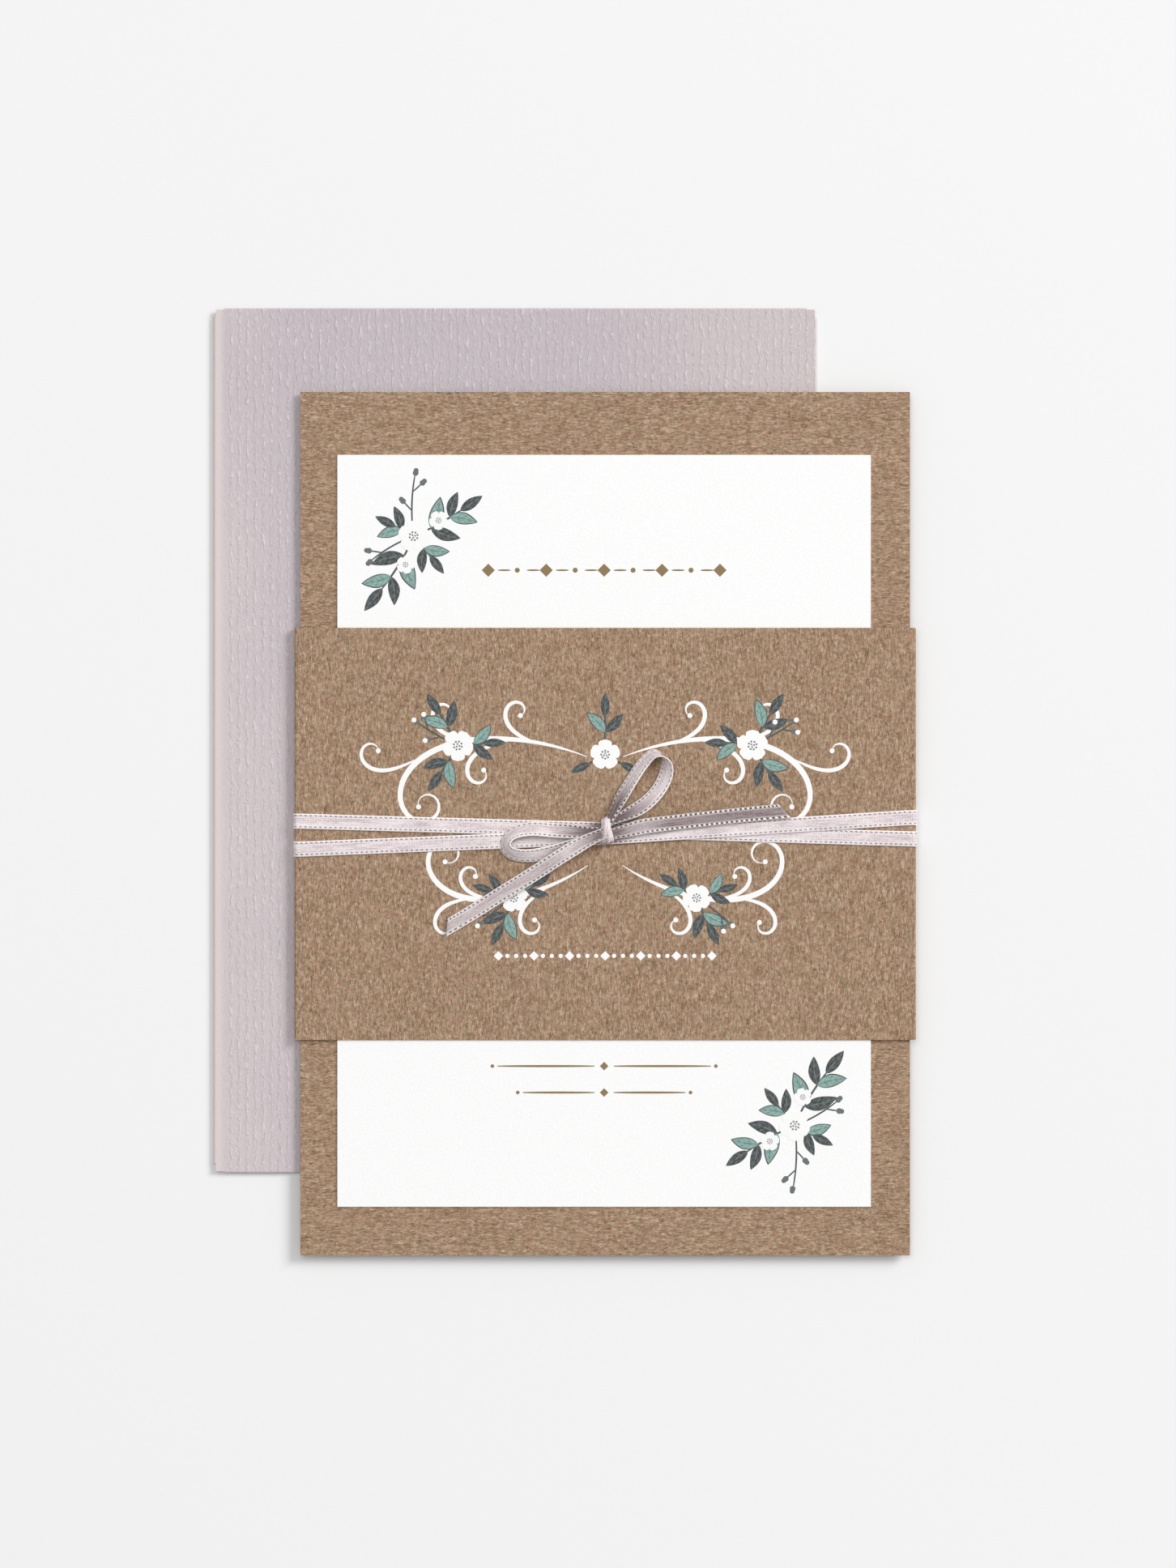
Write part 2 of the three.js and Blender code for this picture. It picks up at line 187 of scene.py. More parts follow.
# Floor. A pale matt sheet runs far out on every side and takes the soft shadows. Its Surface class
# is what every material here is made with.
class Surface(Finish):
    """A material with one Principled shader, and the patterns that its finish is made of."""

    def __init__(self, name, roughness, specular=0.5, **constants):
        self.material = bpy.data.materials.new(name)
        self.material.use_nodes = True
        super().__init__(self.material.node_tree)
        self.shader = self.tree.nodes["Principled BSDF"]
        self.shader.inputs["Roughness"].default_value = roughness
        self.shader.inputs["Specular IOR Level"].default_value = specular
        for name, value in constants.items():
            self.shader.inputs[name.replace("_", " ")].default_value = value

    def place(self, scale=(1, 1, 1)):
        """The point on the object in millimetres, stretched by scale."""
        here = self.node("ShaderNodeTexCoord", output="Object")
        stretch = [s / MM for s in scale]
        return self.node("ShaderNodeMapping", {}, {"Vector": here, "Scale": stretch})

    def along(self, axis):
        return self.node("ShaderNodeSeparateXYZ", {}, {"Vector": self.place()}, output=axis)

    def noise(self, scale, detail=3, roughness=0.6, distortion=0, where=None):
        inputs = {"Vector": where or self.place(scale), "Scale": 1, "Detail": detail,
                  "Roughness": roughness, "Distortion": distortion}
        return self.node("ShaderNodeTexNoise", {}, inputs)

    def attribute(self, name):
        return self.node("ShaderNodeAttribute", {"attribute_name": name}, output="Fac")

    def ramp(self, value, *stops):
        return self.node("ShaderNodeValToRGB", {"stops": stops}, {"Fac": value})

    def mix(self, factor, first, second):
        settings = {"data_type": "RGBA"}
        return self.node("ShaderNodeMix", settings, {0: factor, 6: first, 7: second}, output=2)

    def colour(self, value):
        self.feed(self.shader.inputs["Base Color"], value)

    def roughness(self, value):
        self.feed(self.shader.inputs["Roughness"], value)

    def bump(self, height, distance):
        """Relief whose height runs from 0 to 1 over a distance in millimetres."""
        inputs = {"Height": height, "Distance": distance * MM}
        self.feed(self.shader.inputs["Normal"], self.node("ShaderNodeBump", {}, inputs))


def rgb(red, green, blue):
    """A screen colour, 0 to 255, as linear light."""
    return tuple(((c / 255 + 0.055) / 1.055) ** 2.4 for c in (red, green, blue)) + (1,)


floor_half_width = 3
floor_finish = Surface("floor_paper", 0.9, 0.1)
floor_fleck = floor_finish.noise((0.8, 0.8, 0.8), detail=2)
floor_finish.colour(floor_finish.mix(floor_fleck, rgb(240, 240, 240), rgb(242, 242, 242)))
floor_bm = bmesh.new()
bmesh.ops.create_grid(floor_bm, x_segments=1, y_segments=1, size=floor_half_width)
floor_mesh = bpy.data.meshes.new("floor")
floor_bm.to_mesh(floor_mesh)
floor_bm.free()
floor_mesh.materials.append(floor_finish.material)
floor = bpy.data.objects.new("floor", floor_mesh)
bpy.context.collection.objects.link(floor)


# Envelope. One sheet of mauve pearl paper with a laid surface: fine wavy ribs run down it. It is
# folded on all four sides, and its two upright folds carry a painted highlight: thin paler lines.
def dress(node, finish):
    """Gives a CAD node its finish."""
    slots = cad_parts[node].material_slots
    for slot in slots:
        slot.material = finish.material
    if not slots:
        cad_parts[node].data.materials.append(finish.material)


lilac = rgb(190, 180, 186)
rose = rgb(211, 200, 201)
fold_highlight = rgb(219, 207, 204)
rib_pitch = 1.6
left_fold_width = 1.2
right_fold_width = 0.5
smooth_edge = (1.5, 4)
left_tint_reach = 22
top_tint_reach = (60, 8)
right_tint_reach = (50, 6)

pearl = Surface("pearl_paper", 0.5, 0.4, Sheen_Weight=0.1, Sheen_Roughness=0.4)
envelope_low, envelope_high = box_mm("envelope")
wobble = pearl.noise((0.5, 0.42, 0.5), detail=3, roughness=0.6)
rib_line = pearl.along(0) / rib_pitch + wobble * 0.85
waves = (rib_line * (2 * math.pi)).sine() * 0.5 + 0.5
ribs = waves * waves * waves
dashes = pearl.noise((1.9, 0.62, 1.9), detail=3, roughness=0.62, distortion=0.6)
grain = pearl.noise((4.2, 2.6, 4.2), detail=2, roughness=0.7)
flat_edge = pearl.along(0).step(*(envelope_low.x + reach for reach in smooth_edge))
relief_and_highlight = (dashes.step(0.4, 0.64) * (0.3 + ribs * 0.9)) * (0.2 + flat_edge * 0.8)
drift = pearl.noise((0.028, 0.02, 0.028), detail=2).step(0.35, 0.62)
# The sheet is rose at its left edge and turns lilac inwards, more so near its top, and pinker again
# by its right edge.
far_side = pearl.along(0).step(envelope_low.x, envelope_low.x + left_tint_reach)
high_side = pearl.along(1).step(*(envelope_high.y - reach for reach in top_tint_reach)) * 0.35
sheet_colour = pearl.mix(far_side * 0.55 + high_side + drift * 0.25, rose, lilac)
right_side = pearl.along(0).step(*(envelope_high.x - reach for reach in right_tint_reach))
sheet_colour = pearl.mix(right_side * 0.75, sheet_colour, rgb(207, 195, 194))
# Painted highlight: the ridges of the laid ribs are painted paler, as well as bumped.
sheet_colour = pearl.mix(relief_and_highlight * 0.48, sheet_colour, rgb(230, 220, 222))
sheet_colour = pearl.mix(grain.step(0.3, 0.75) * 0.26, sheet_colour, rgb(166, 153, 160))
# Painted highlight: a paler colour runs along both upright folds.
left_fold = 1 - pearl.along(0).step(envelope_low.x + left_fold_width,
                                    envelope_low.x + 2 * left_fold_width)
right_fold = pearl.along(0).step(envelope_high.x - right_fold_width,
                                 envelope_high.x - right_fold_width / 2)
pearl.colour(pearl.mix(left_fold * 0.75 + right_fold * 0.6, sheet_colour, fold_highlight))
pearl.roughness(0.46 + grain * 0.12)
pearl.bump(relief_and_highlight * 0.7 + grain * 0.3, 0.13)
dress("envelope", pearl)


# Kraft card. Stiff brown board of unbleached pulp: fibres of many browns lie along the sheet, with
# dark shives and pale hairs among them. It is cut square and carries the white card.
def kraft_board(name, fibre_axis):
    """Kraft pulp with its fibres along one axis, 0 or 1."""
    def laid(length, width):
        scale = [1 / width] * 3
        scale[fibre_axis] = 1 / length
        return scale

    board = Surface(name, 0.88, 0.25)
    fibres = board.noise(laid(1.6, 0.36), detail=3, roughness=0.68, distortion=1.0)
    strands = board.noise(laid(1.3, 0.19), detail=3, roughness=0.7, distortion=1.4)
    hairs = board.noise(laid(2.0, 0.24), detail=2, roughness=0.6, distortion=2.0)
    pulp = board.noise((1.5, 1.5, 1.5), detail=3, roughness=0.7)
    clouds = board.noise((0.22, 0.22, 0.22), detail=3)
    tints = board.noise(laid(1.4, 0.6), detail=2, distortion=0.5)
    mat = fibres * 0.32 + strands * 0.4 + pulp * 0.28
    base = board.ramp(mat, (0.4, rgb(84, 60, 43)), (0.455, rgb(130, 102, 79)),
                      (0.5, rgb(156, 128, 104)), (0.545, rgb(182, 155, 130)),
                      (0.61, rgb(220, 198, 173)))
    tone = board.ramp(tints, (0.38, rgb(150, 138, 108)), (0.5, rgb(164, 136, 112)),
                      (0.62, rgb(180, 132, 110)))
    base = board.mix(0.26, base, tone)
    base = board.mix(clouds.step(0.35, 0.75) * 0.18, base, rgb(178, 149, 122))
    shives = board.noise(laid(0.9, 0.3), detail=1, distortion=0.9).step(0.7, 0.76)
    base = board.mix(shives * 0.75, base, rgb(80, 57, 41))
    base = board.mix(hairs.step(0.66, 0.74) * 0.5, base, rgb(216, 193, 167))
    board.colour(base)
    board.bump(fibres * 0.6 + pulp * 0.2 + hairs * 0.2, 0.1)
    return board


dress("kraft_card", kraft_board("kraft_card_board", fibre_axis=0))


# White insert card. Smooth white card with a very fine tooth, glued in the middle of the kraft
# card. It is the brightest thing in the picture, so its tone stays a little under full white.
white = Surface("white_card", 0.8, 0.2)
tooth = white.noise((2.6, 2.6, 2.6), detail=3, roughness=0.6)
white.colour(white.mix(tooth.step(0.3, 0.7), rgb(246, 246, 246), rgb(251, 251, 250)))
white.bump(tooth, 0.035)
dress("white_insert_card", white)


# Print on the insert. Flat matt ink, a hair thick: at two corners a spray of leaves round a
# blossom, in dark grey and sage with white petals, and brown gold rules and lozenges where the
# words would stand. The leaves show their midribs and the strokes of the brush.
ink_lift = 0.006
ink_body = 0.6 * ink_lift
ink_step = 0.0006
ink_order = [0]
weld_reach = 0.0004


def ink(name, body, streak, veins=0.0):
    """Matt ink that is streaked along each leaf, with the leaf's veins in the second colour."""
    made = Surface(name, 0.75, 0.25)
    run = made.attribute("along")
    side = made.attribute("across")
    spot = made.node("ShaderNodeCombineXYZ", {}, {0: run * 0.7, 1: side * 2.6})
    brushed = made.noise(None, detail=2, where=spot).step(0.4, 0.64)
    midrib = 1 - side.absolute().step(0.04, 0.15)
    side_veins = ((run * 0.9 - side.absolute() * 0.9) * (2 * math.pi)).sine().step(0.6, 0.97)
    made.colour(made.mix(brushed * 0.5 + (midrib + side_veins * 0.6) * veins, body, streak))
    return made


charcoal_ink = ink("charcoal_ink", rgb(60, 64, 65), rgb(116, 122, 122), 0.6)
sage_ink = ink("sage_ink", rgb(150, 181, 173), rgb(101, 133, 127), 0.8)
grey_ink = ink("grey_ink", rgb(132, 135, 137), rgb(150, 152, 153))
gold_ink = ink("gold_ink", rgb(139, 117, 84), rgb(152, 130, 96))
white_ink = ink("white_ink", rgb(247, 247, 246), rgb(252, 252, 251))


def toward(angle):
    return Vector((math.cos(angle), math.sin(angle)))


def walk(start, heading, length, bend, bend_end, steps, late=1):
    """Points and headings along a line whose bend, in degrees a millimetre, grows to its end."""
    here = Vector(start)
    direction = heading
    stride = length / steps
    points = [(here.copy(), direction)]
    for i in range(steps):
        direction += math.radians(bend + (bend_end - bend) * ((i + 0.5) / steps) ** late) * stride
        here = here + toward(direction) * stride
        points.append((here.copy(), direction))
    return points


def make_piece(name, bm, finish, body, smooth=True):
    """Turns a bmesh in millimetres into a piece in metres that rides on a body."""
    bmesh.ops.scale(bm, vec=(MM, MM, MM), verts=bm.verts)
    mesh = bpy.data.meshes.new(name)
    bm.to_mesh(mesh)
    bm.free()
    mesh.materials.append(finish.material)
    mesh.polygons.foreach_set("use_smooth", [smooth] * len(mesh.polygons))
    made = bpy.data.objects.new(name, mesh)
    bpy.context.collection.objects.link(made)
    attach(made, body)
    return made


def ink_level():
    """Each shape lies a hair over the one before it, as in a drawing."""
    ink_order[0] += 1
    return ink_lift + ink_step * ink_order[0]


class Print:
    """Flat shapes of one ink, gathered into one piece."""

    def __init__(self):
        self.bm = bmesh.new()
        self.along = self.bm.verts.layers.float.new("along")
        self.across = self.bm.verts.layers.float.new("across")

    def patch(self, steps, sides, length, outline):
        """A patch bent to an outline, a function of two numbers from -1 to 1, along and across."""
        made = bmesh.ops.create_grid(self.bm, x_segments=steps, y_segments=sides, size=1)["verts"]
        level = ink_level()
        for vert in made:
            vert[self.along] = (vert.co.x + 1) / 2 * length
            vert[self.across] = vert.co.y
            x, y = outline(vert.co.x, vert.co.y)
            vert.co = (x, y, level)

    def leaf(self, base, heading, length, width, bend=0.0):
        turn = Matrix.Rotation(heading, 2)

        def outline(u, v):
            part = min(max((u + 1) / 2, 0.0), 1.0)
            belly = math.sin(math.pi * part ** 0.85) ** 0.85 if 0 < part < 1 else 0
            spine = bend * length * math.sin(math.pi * part)
            return Vector(base) + turn @ Vector((part * length, spine + v * belly * width / 2))
        self.patch(14, 4, length, outline)

    def petal(self, base, heading, length, width):
        turn = Matrix.Rotation(heading, 2)

        def outline(u, v):
            part = min(max((u + 1) / 2, 0.0), 1.0)
            belly = math.sqrt(max(0, part * (1 - part ** 5))) * 1.25
            return Vector(base) + turn @ Vector((part * length, v * belly * width / 2))
        self.patch(12, 4, length, outline)

    def stroke(self, start, heading, length, bend, bend_end, width, taper=0.7, steps=44, late=1):
        """A pen stroke, thick in the middle and thin at its ends. Returns where it ends."""
        points = walk(start, heading, length, bend, bend_end, steps, late)

        def outline(u, v):
            here, direction = points[round((u + 1) / 2 * steps)]
            part = min(max((u + 1) / 2, 0.02), 0.98)
            swell = math.sin(math.pi * part) ** taper
            left = Vector((-math.sin(direction), math.cos(direction)))
            return here + left * (v * width * swell / 2)
        self.patch(steps, 2, length, outline)
        return points[-1]

    def dot(self, centre, radius, sides=12, level=None):
        level = level or ink_level()
        made = bmesh.ops.create_circle(self.bm, cap_ends=True, segments=sides, radius=radius)
        bmesh.ops.translate(self.bm, verts=made["verts"], vec=(centre[0], centre[1], level))

    def finish(self, name, finish, body, slot, origin):
        bmesh.ops.remove_doubles(self.bm, verts=self.bm.verts, dist=weld_reach)
        bmesh.ops.dissolve_degenerate(self.bm, edges=self.bm.edges, dist=0.0001)
        bmesh.ops.translate(self.bm, verts=self.bm.verts, vec=origin)
        made = make_piece(name, self.bm, finish, body, smooth=False)
        thick = made.modifiers.new("ink", "SOLIDIFY")
        thick.thickness = ink_body * MM
        thick.offset = -1


def spray(inks, root, heading, length, bend, pairs, leaf):
    """A stem with its leaves in pairs, dark and sage in turn, smaller to the tip."""
    dark, pale = inks
    steps = 40
    stem = walk(root, heading, length, bend, bend * 0.4, steps)
    dark.stroke(root, heading, length, bend, bend * 0.4, 0.42, taper=0.3)
    for i in range(pairs):
        part = (i + 0.9) / (pairs + 0.7)
        here, direction = stem[round(part * steps)]
        size = leaf * (1 - 0.35 * part)
        for side in (1, -1):
            out = direction + side * math.radians(50 - 12 * part)
            if (i + (side > 0)) % 2:
                dark.leaf(here, out, size * 1.05, size * 0.46, bend=-0.05 * side)
                pale.leaf(here, out, size, size * 0.39, bend=-0.05 * side)
            else:
                dark.leaf(here, out, size, size * 0.4, bend=0.05 * side)
    end, direction = stem[-1]
    dark.leaf(end - toward(direction), direction, leaf * 0.75, leaf * 0.29)


def twig(dark, tip, root, heading, length, bend, berries):
    """A thin bare twig that forks, with a berry or a bud at each end."""
    steps = 20
    fork_every = 6
    stem = walk(root, heading, length, bend, bend, steps)
    dark.stroke(root, heading, length, bend, bend, 0.34, taper=0.2)
    ends = [stem[-1]]
    for i in range(berries - 1):
        here, direction = stem[steps - fork_every * (i + 1)]
        out = direction + math.radians(42) * (1 if i % 2 else -1)
        ends.append(dark.stroke(here, out, 2.6, 0, 0, 0.3, taper=0.2, steps=6))
    for place, direction in ends:
        dark.dot(place, 0.58)
        tip.dot(place + toward(direction) * 0.5, 0.5)


def blossom(petals_ink, heart_ink, centre, radius, turn, petals=5):
    """Round white petals about a ring of grey dots, with a few dots inside the ring."""
    for i in range(petals):
        petals_ink.petal(centre, turn + 2 * math.pi * i / petals, radius, radius * 0.92)
    heart = ink_level()
    for dots, reach, size in ((8, 0.26, 0.075), (3, 0.1, 0.07)):
        for i in range(dots):
            out = toward(turn + 2 * math.pi * i / dots) * radius * reach
            heart_ink.dot(Vector(centre) + out, radius * size, sides=6, level=heart)


insert_low, insert_high = box_mm("white_insert_card")
insert_middle = (insert_low + insert_high) / 2
insert_origin = (insert_middle.x, insert_middle.y, insert_high.z)
insert_half = (insert_high - insert_low) / 2
insert_dark = Print()
insert_pale = Print()
insert_white = Print()
insert_grey = Print()
insert_gold = Print()
insert_inks = (insert_dark, insert_pale)
corner_inset = Vector((15, 16))

for side in (1, -1):
    root = Vector((-insert_half.x + corner_inset.x, insert_half.y - corner_inset.y)) * side
    turn = 0 if side > 0 else math.pi
    ink_order[0] = 0
    twig(insert_dark, insert_dark, root, turn + math.radians(98), 12.5, -1.5, 3)
    twig(insert_dark, insert_dark, root, turn + math.radians(-160), 10, 2, 2)
    spray(insert_inks, root, turn + math.radians(22), 11.5, 1.5, 2, 7)
    spray(insert_inks, root, turn + math.radians(-112), 13, -1.8, 2, 7.6)
    spray(insert_inks, root, turn + math.radians(150), 5, 1, 1, 6)
    spray(insert_inks, root, turn + math.radians(-48), 6, -1, 1, 6)
    blossom(insert_white, insert_grey, root, 3.1, turn + 0.3)
    blossom(insert_white, insert_grey, root + Vector((4.9, 3.1)) * side, 1.9, turn + 0.9)
    blossom(insert_white, insert_grey, root + Vector((-1.6, -5.6)) * side, 1.8, turn)

ink_order[0] = 0
head_rule_y = 51.3
head_rule_half = 22.8
head_rule_step = head_rule_half / 4
lozenge_clear = 1.9
dot_clear = 1.3
for i in range(-4, 5):
    x = i * head_rule_step
    size, sides = (0.5, 12) if i % 2 else (1.3, 4)
    insert_gold.dot((x, head_rule_y), size, sides)
    if i < 4:
        dash = head_rule_step - lozenge_clear - dot_clear
        insert_gold.stroke((x + lozenge_clear, head_rule_y), 0, dash, 0, 0, 0.34,
                           taper=0.3, steps=6)
foot_rules = ((-46.3, 21), (-51.5, 16))
for y, half in foot_rules:
    insert_gold.dot((0, y), 0.85, sides=4)
    for side in (1, -1):
        heading = 0 if side > 0 else math.pi
        insert_gold.stroke((side * lozenge_clear, y), heading, half - lozenge_clear, 0, 0, 0.42,
                           taper=0.3, steps=12)
        insert_gold.dot((side * (half + 1), y), 0.36)

for print_name, shapes, colour in (("insert_print_dark", insert_dark, charcoal_ink),
                                   ("insert_print_sage", insert_pale, sage_ink),
                                   ("insert_print_white", insert_white, white_ink),
                                   ("insert_print_grey", insert_grey, grey_ink),
                                   ("insert_print_gold", insert_gold, gold_ink)):
    shapes.finish(print_name, colour, "card_stack", "white_card", insert_origin)


# Belly band. One strip of kraft paper with upright fibres, folded round the card and glued at the
# back. It is printed with white pen scrolls, sprays of leaves and blossoms, and a dotted rule.
dress("belly_band", kraft_board("kraft_band_paper", fibre_axis=1))

band_low, band_high = box_mm("belly_band")
band_middle = (band_low + band_high) / 2
band_origin = (band_middle.x, band_middle.y, band_high.z)
band_white = Print()
band_dark = Print()
band_sage = Print()
band_grey = Print()
band_inks = (band_dark, band_sage)
crown = Vector((0, 15.6))

for side in (1, -1):
    upper_blossom = Vector((side * 29, 17.4))
    lower_blossom = Vector((side * 18, -12.6))

    def aim(degrees, side=side):
        return math.radians(degrees) if side > 0 else math.pi - math.radians(degrees)

    def scroll(x, y, degrees, length, bend, bend_end, width, late=2, side=side):
        """A pen scroll that winds up to a small ball."""
        start = (side * x, y)
        end, _ = band_white.stroke(start, aim(degrees), length, side * bend, side * bend_end, width,
                                   steps=64, late=late)
        band_white.dot(end, 0.5)

    ink_order[0] = 0
    scroll(3.6, 15.2, 22, 62, -1.1, -34, 1.15, late=4)
    scroll(12, 17.4, 16, 18, 1.5, 50, 0.85)
    scroll(19, 18.3, -12, 18, -1.5, -48, 0.85)
    scroll(25, 18.5, 2, 18, 1.5, 50, 0.8)
    scroll(36.5, 15, -28, 19, 1, 44, 0.8)
    spray(band_inks, upper_blossom, aim(64), 8, side * -1.2, 1, 6.6)
    spray(band_inks, upper_blossom, aim(172), 6, side * 1.4, 1, 6)
    spray(band_inks, upper_blossom, aim(-62), 7, side * 1.4, 1, 6.4)
    twig(band_dark, band_white, upper_blossom, aim(24), 9.5, side * 1.2, 3)
    blossom(band_white, band_grey, upper_blossom, 3.1, 0.3 * side)
    ink_order[0] = 0
    scroll(3.4, -6.2, -34, 50, 1.3, 36, 1.1, late=4)
    scroll(11, -10.4, -30, 17, -1.5, -52, 0.8)
    scroll(25, -12.6, -4, 17, -1.5, -50, 0.8)
    scroll(21, -12.9, 4, 15, 2, 54, 0.75)
    spray(band_inks, lower_blossom, aim(-70), 6.5, side * 1.5, 1, 6.4)
    spray(band_inks, lower_blossom, aim(20), 5.5, side * -1.0, 1, 5.4)
    spray(band_inks, lower_blossom, aim(150), 5.5, side * -1.0, 1, 5.6)
    twig(band_dark, band_white, lower_blossom, aim(-32), 8.5, side * -1.2, 2)
    blossom(band_white, band_grey, lower_blossom, 2.8, 0.8 * side)
ink_order[0] = 0
spray(band_inks, crown, math.radians(90), 8.5, 0, 1, 6.2)
spray(band_inks, crown, math.radians(-32), 4.5, 2, 0, 5.6)
spray(band_inks, crown, math.radians(-148), 4.5, -2, 0, 5.6)
blossom(band_white, band_grey, crown, 3.0, math.pi / 2)

ink_order[0] = 0
dotted_rule_y = -24
dotted_rule_half = 21
dots_each_way = 12
for i in range(-dots_each_way, dots_each_way + 1):
    size, sides = (0.42, 12) if i % 4 else (0.95, 4)
    band_white.dot((i * dotted_rule_half / dots_each_way, dotted_rule_y), size, sides)

for print_name, shapes, colour in (("band_print_white", band_white, white_ink),
                                   ("band_print_dark", band_dark, charcoal_ink),
                                   ("band_print_sage", band_sage, sage_ink),
                                   ("band_print_grey", band_grey, grey_ink)):
    shapes.finish(print_name, colour, "band", "kraft_paper", band_origin)


# Satin ribbon. One length of 3 mm woven ribbon, silvery pink, with a row of picot stitches along
# each edge. It goes twice round the band and is tied in a bow with two loops and two slanted ends.
ribbon_width = 3.0
ribbon_thickness = 0.2
ribbon_gap = 0.06
band_fold = 0.45
stitch_pitch = 0.985
weft_pitch = 0.5
knot = Vector((band_middle.x + 0.25, band_middle.y + 0.9))
on_band = band_high.z + ribbon_gap + ribbon_thickness / 2
layer_step = ribbon_thickness + ribbon_gap
back_level = box_mm("satin_ribbon")[0].z + ribbon_thickness / 2
turn_radius = band_fold + ribbon_gap + ribbon_thickness / 2
turn_half_width = (band_high.x - band_low.x) / 2 + ribbon_gap + ribbon_thickness / 2
turn_reach = turn_half_width - turn_radius
corner_steps = 6
strand_end = turn_half_width - 2.5 * turn_radius

# The finish reads four marks that lay_ribbon leaves on the strip: the length run, the place across
# from -1 to 1, how tightly it is pinched, which is painted in as shade, and how dull it lies, which
# is painted shade on a rougher face. Edge is the way in from the nearer edge in millimetres: a
# white line, then a row of holes with stitches between, then a pale line.
satin = Surface("satin_weave", 0.33, 0.5, Sheen_Weight=0.15, Sheen_Roughness=0.35)
run = satin.attribute("along")
side_of = satin.attribute("across")
edge = (ribbon_width / 2) * (1 - side_of.absolute())
pinch = satin.attribute("pinch")
dull = satin.attribute("dull")
beat = ((run / stitch_pitch) * (2 * math.pi)).sine()
shade_mauve = rgb(104, 84, 87)
thread_white = rgb(252, 245, 244)
hole_row = (edge + dull * 0.16).step(0.25, 0.35) * (1 - edge.step(0.45, 0.56))
holes = (1 - beat.step(-0.7, 0.1)) * hole_row
stitches = beat.step(-0.2, 0.4) * hole_row
edge_line = 1 - edge.step(0.2, 0.32)
inner_line = edge.step(0.54, 0.62) * (1 - edge.step(0.7, 0.82))
thread_spot = satin.node("ShaderNodeCombineXYZ", {}, {0: run * 0.22, 1: side_of * 9})
threads = satin.noise(None, detail=3, roughness=0.65, where=thread_spot)
speckle_spot = satin.node("ShaderNodeCombineXYZ", {}, {0: run * 1.7, 1: side_of * 5})
speckle = satin.noise(None, detail=2, roughness=0.7, where=speckle_spot)
# Painted sheen: gleam lays long pale streaks along the run. The weave below mixes them into the
# satin's colour with the threads, and they also vary the roughness.
gleam_spot = satin.node("ShaderNodeCombineXYZ", {}, {0: run * 0.11, 1: side_of * 0.9})
gleam = satin.noise(None, detail=2, where=gleam_spot)
weft = ((run / weft_pitch) * (2 * math.pi)).sine() * 0.5 + 0.5
weave = threads * 0.42 + speckle * 0.3 + gleam * 0.28 + weft * 0.04 - pinch * 0.08
body_light = weave.step(0.4, 0.62)
satin_colour = satin.mix(body_light, rgb(190, 173, 176), rgb(240, 229, 230))
# Painted shade: parts marked dull are painted in a darker mauve, and are a little rougher.
shaded_colour = satin.mix(body_light, rgb(100, 82, 84), rgb(156, 139, 140))
satin_colour = satin.mix(dull, satin_colour, shaded_colour)
# Painted shade: the ribbon is painted dark mauve where it is pinched into the knot, and its holes
# darker there.
shade = pinch * (1 - threads.step(0.42, 0.62)) * 0.5 + pinch * pinch * 0.85
satin_colour = satin.mix(shade, satin_colour, shade_mauve)
inner_shine = inner_line * (0.55 - pinch * 0.3 - dull * 0.2)
satin_colour = satin.mix(inner_shine, satin_colour, rgb(246, 237, 237))
satin_colour = satin.mix(edge_line * (0.85 - dull * 0.35 - pinch * 0.3), satin_colour, thread_white)
satin_colour = satin.mix(stitches * (0.4 + dull * 0.55), satin_colour, thread_white)
satin.colour(satin.mix(holes * (0.62 + dull * 0.25 + pinch * 0.35), satin_colour, rgb(88, 70, 73)))
satin.roughness(0.26 + gleam * 0.12 + hole_row * 0.2 + dull * 0.15)
satin.bump(stitches * 0.3 + edge_line * 0.3 - holes * 0.6 + weft * 0.07 + threads * 0.3, 0.14)


def eased(value, low, high):
    part = min(max((value - low) / (high - low), 0), 1)
    return part * part * (3 - 2 * part)


def curve_point(points, part):
    """A point on a smooth line through the points, for a part from 0 to 1."""
    place = part * (len(points) - 1)
    i = min(int(place), len(points) - 2)
    t = place - i
    p1, p2 = points[i], points[i + 1]
    p0 = points[i - 1] if i else p1 * 2 - p2
    p3 = points[i + 2] if i + 2 < len(points) else p2 * 2 - p1
    return (p1 * 2 + (p2 - p0) * t + (p0 * 2 - p1 * 5 + p2 * 4 - p3) * t ** 2
            + (p1 * 3 - p0 - p2 * 3 + p3) * t ** 3) / 2


def even_stations(middles, leans, stride):
    """The same line, with a station every stride, and the length run at each."""
    runs = [0.0]
    for before, after in zip(middles, middles[1:]):
        runs.append(runs[-1] + (after - before).length)
    count = max(4, round(runs[-1] / stride))
    stations = []
    i = 0
    for k in range(count + 1):
        target = runs[-1] * k / count
        while i < len(runs) - 2 and runs[i + 1] < target:
            i += 1
        t = (target - runs[i]) / max(runs[i + 1] - runs[i], 1e-9)
        middle = middles[i].lerp(middles[i + 1], t)
        stations.append((middle, leans[i].lerp(leans[i + 1], t), target))
    return stations


ribbon_bm = bmesh.new()
ribbon_along = ribbon_bm.verts.layers.float.new("along")
ribbon_across = ribbon_bm.verts.layers.float.new("across")
ribbon_pinch_shade = ribbon_bm.verts.layers.float.new("pinch")
ribbon_dull_and_shaded = ribbon_bm.verts.layers.float.new("dull")
ribbon_spent = 0.0
picot = 0.015
crease_waves = 7
crease_drift = 9
knot_shade = (1.5, 7)


def plain(part):
    return 0.0


